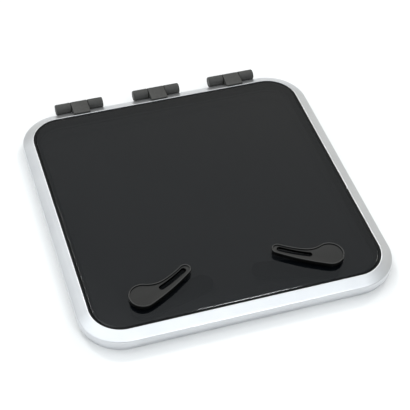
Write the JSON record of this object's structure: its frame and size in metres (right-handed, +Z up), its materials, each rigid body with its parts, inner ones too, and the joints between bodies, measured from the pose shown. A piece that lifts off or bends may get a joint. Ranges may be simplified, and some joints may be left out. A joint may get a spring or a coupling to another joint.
{
  "type": "deck hatch",
  "caption": "Low square deck hatch with rounded corners: smoked pane in a bevelled aluminium lid, friction hinges along the back, slotted quarter-turn handles at the front.",
  "frame": {"origin": "centre of the base frame's underside, on the deck", "axes": "+Z up from the deck, +Y towards the hinges, +X to the right seen from the handles"},
  "size_m": [0.5, 0.519, 0.0416],
  "materials": {
    "frame_aluminium": "satin silver anodised",
    "smoked_acrylic": "gloss, smoke tint",
    "black_sealant": "satin sealant",
    "gasket_rubber": "matt rubber",
    "hinge_plastic": "fine grained charcoal",
    "bush_plastic": "black acetal",
    "handle_plastic": "satin black moulded",
    "stainless_steel": "brushed stainless"
  },
  "bodies": {
    "base": {"base_frame": "frame_aluminium", "keeper_left": "stainless_steel", "keeper_right": "stainless_steel", "keeper_screws": "stainless_steel", "hinge_bracket_screws": "stainless_steel", "hinge_base_left": "hinge_plastic", "hinge_base_centre": "hinge_plastic", "hinge_base_right": "hinge_plastic", "hinge_pin_left": "stainless_steel", "hinge_pin_centre": "stainless_steel", "hinge_pin_right": "stainless_steel", "hinge_washers_left": "bush_plastic", "hinge_washers_centre": "bush_plastic", "hinge_washers_right": "bush_plastic", "hinge_caps_left": "hinge_plastic", "hinge_caps_centre": "hinge_plastic", "hinge_caps_right": "hinge_plastic"},
    "lid": {"hinge_bush_centre": "bush_plastic", "hinge_bush_left": "bush_plastic", "hinge_bush_right": "bush_plastic", "hinge_leaf_centre": "hinge_plastic", "hinge_leaf_left": "hinge_plastic", "hinge_leaf_right": "hinge_plastic", "hinge_leaf_screws": "stainless_steel", "lid_frame": "frame_aluminium", "lid_gasket": "gasket_rubber", "lock_bush_left": "handle_plastic", "lock_bush_right": "handle_plastic", "lock_inner_seal_left": "gasket_rubber", "lock_inner_seal_right": "gasket_rubber", "lock_nut_left": "handle_plastic", "lock_nut_right": "handle_plastic", "lock_outer_seal_left": "gasket_rubber", "lock_outer_seal_right": "gasket_rubber", "pane": "smoked_acrylic", "pane_sealant": "black_sealant"},
    "left_lock": {"outer_handle_left": "handle_plastic", "spindle_left": "stainless_steel", "spindle_ring_seal_left": "gasket_rubber", "inner_handle_left": "handle_plastic", "spindle_spring_washer_left": "stainless_steel", "handle_washer_left": "stainless_steel", "handle_screw_left": "stainless_steel"},
    "right_lock": {"outer_handle_right": "handle_plastic", "spindle_right": "stainless_steel", "spindle_ring_seal_right": "gasket_rubber", "inner_handle_right": "handle_plastic", "spindle_spring_washer_right": "stainless_steel", "handle_washer_right": "stainless_steel", "handle_screw_right": "stainless_steel"}
  },
  "joints": [
    {"name": "lid_hinge", "type": "hinge", "parent": "base", "child": "lid", "pos_m": [0, 0.26, 0.0264], "axis": [-1, 0, 0], "range_deg": [0, 180]},
    {"name": "left_handle_turn", "type": "hinge", "parent": "lid", "child": "left_lock", "pos_m": [-0.149, -0.185, 0.03], "axis": [0, 0, 1], "range_deg": [0, 90]},
    {"name": "right_handle_turn", "type": "hinge", "parent": "lid", "child": "right_lock", "pos_m": [0.149, -0.185, 0.03], "axis": [0, 0, -1], "range_deg": [0, 90]}
  ]
}
